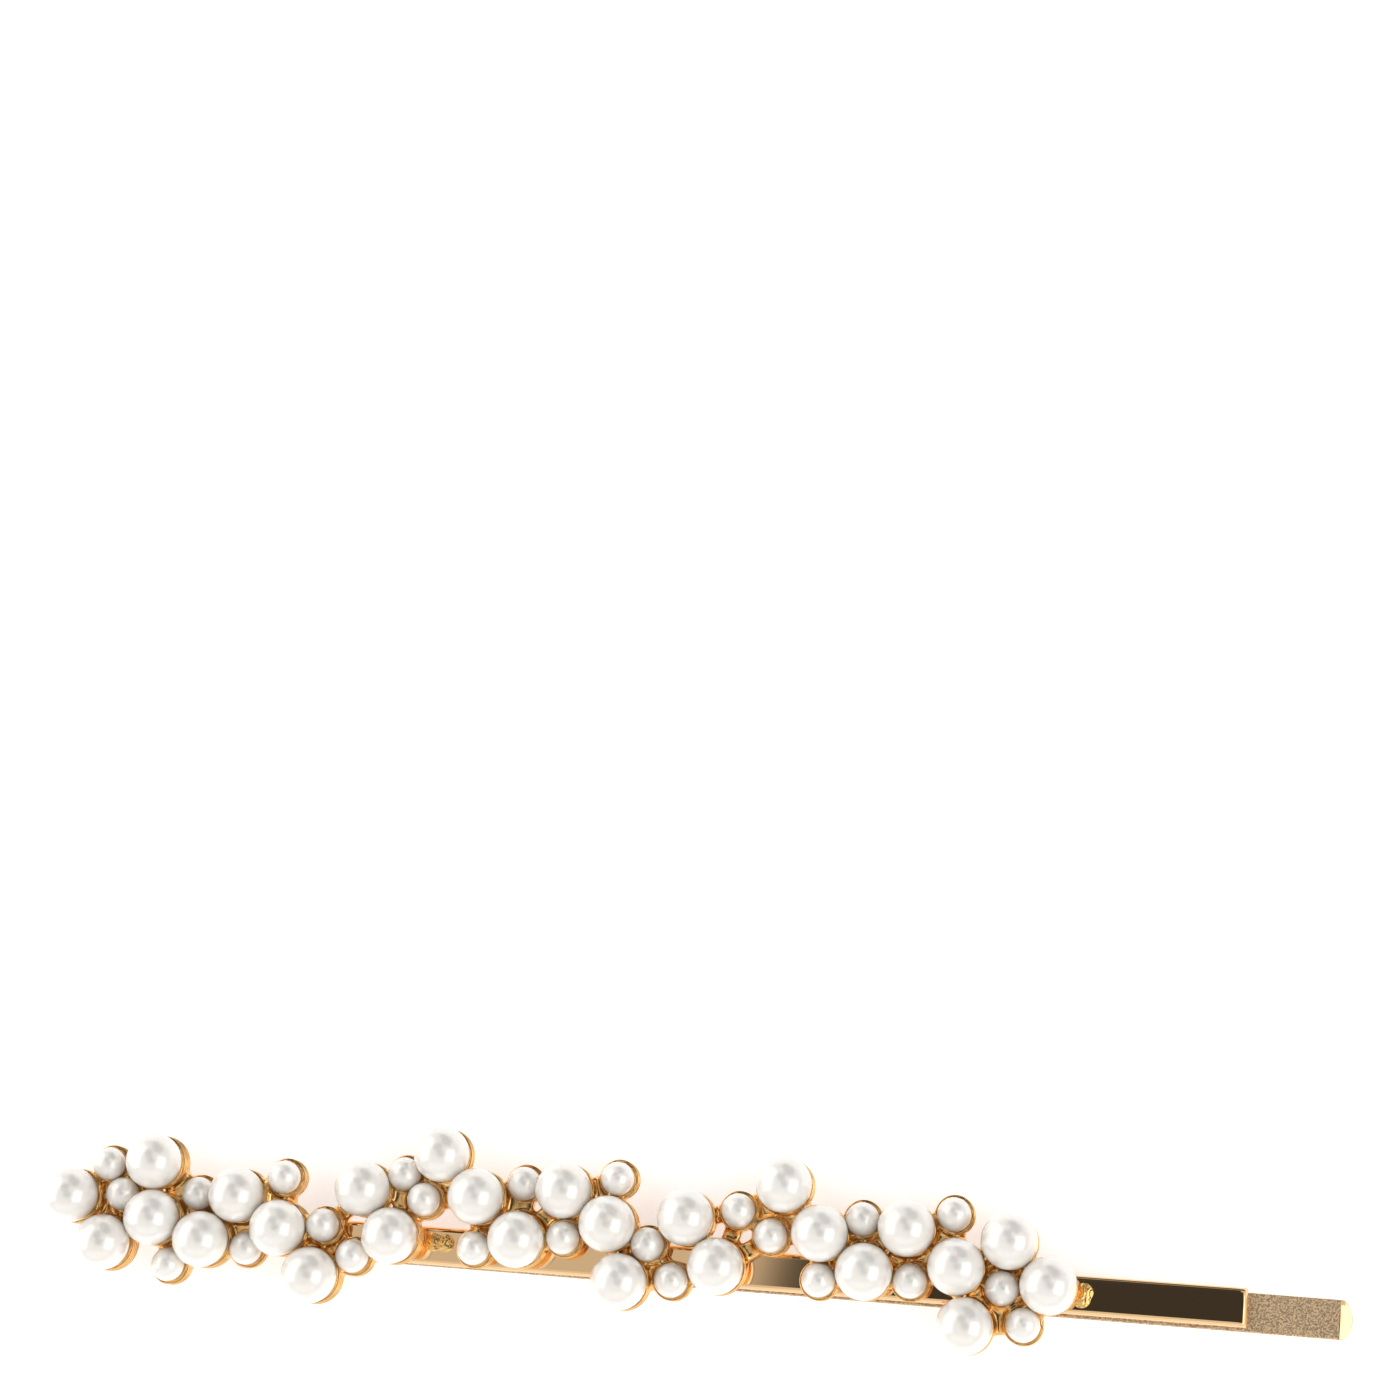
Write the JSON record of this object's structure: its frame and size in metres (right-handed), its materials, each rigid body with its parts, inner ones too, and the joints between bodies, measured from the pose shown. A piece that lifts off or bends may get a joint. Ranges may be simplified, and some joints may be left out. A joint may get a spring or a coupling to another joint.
{
  "type": "pearl hair slide",
  "caption": "Flat two-legged spring hair pin with a cast openwork spray of pearls in round cups along its upper leg.",
  "frame": {"origin": "on the lower leg's underside, mid-width, in line with the centre of the fold's bend", "axes": "+X from the fold to the tail, +Z away from the hair, out of the pearls' face"},
  "size_m": [0.117, 0.0165, 0.0083],
  "materials": {
    "grained_gold": "fine sandblasted gold plate",
    "polished_gold": "mirror-polished gold plate",
    "cast_gold": "cast and gold plated, slightly lumpy",
    "solder_gold": "crumpled bright solder",
    "pearl": "pearl nacre"
  },
  "bodies": {
    "lower_leg": {"lower_leg": "grained_gold"},
    "upper_leg": {"upper_leg": "polished_gold", "setting_plate": "cast_gold", "solder_middle": "solder_gold", "solder_tip": "solder_gold", "pearl_01": "pearl", "pearl_02": "pearl", "pearl_03": "pearl", "pearl_04": "pearl", "pearl_05": "pearl", "pearl_06": "pearl", "pearl_07": "pearl", "pearl_08": "pearl", "pearl_09": "pearl", "pearl_10": "pearl", "pearl_11": "pearl", "pearl_12": "pearl", "pearl_13": "pearl", "pearl_14": "pearl", "pearl_15": "pearl", "pearl_16": "pearl", "pearl_17": "pearl", "pearl_18": "pearl", "pearl_19": "pearl", "pearl_20": "pearl", "pearl_21": "pearl", "pearl_22": "pearl", "pearl_23": "pearl", "pearl_24": "pearl", "pearl_25": "pearl", "pearl_26": "pearl", "pearl_27": "pearl", "pearl_28": "pearl", "pearl_29": "pearl", "pearl_30": "pearl", "pearl_31": "pearl", "pearl_32": "pearl", "pearl_33": "pearl", "pearl_34": "pearl", "pearl_35": "pearl", "pearl_36": "pearl", "pearl_37": "pearl", "pearl_38": "pearl", "pearl_39": "pearl", "pearl_40": "pearl", "pearl_41": "pearl", "pearl_42": "pearl", "pearl_43": "pearl", "pearl_44": "pearl", "pearl_45": "pearl", "pearl_46": "pearl", "pearl_47": "pearl", "pearl_48": "pearl", "pearl_49": "pearl", "pearl_50": "pearl"}
  },
  "joints": [
    {"name": "leg_flex", "type": "hinge", "parent": "lower_leg", "child": "upper_leg", "pos_m": [-0.0011, 0, 0.0011], "axis": [0, -1, 0], "range_deg": [0, 8], "stiffness_Nm_per_rad": 0.6}
  ]
}
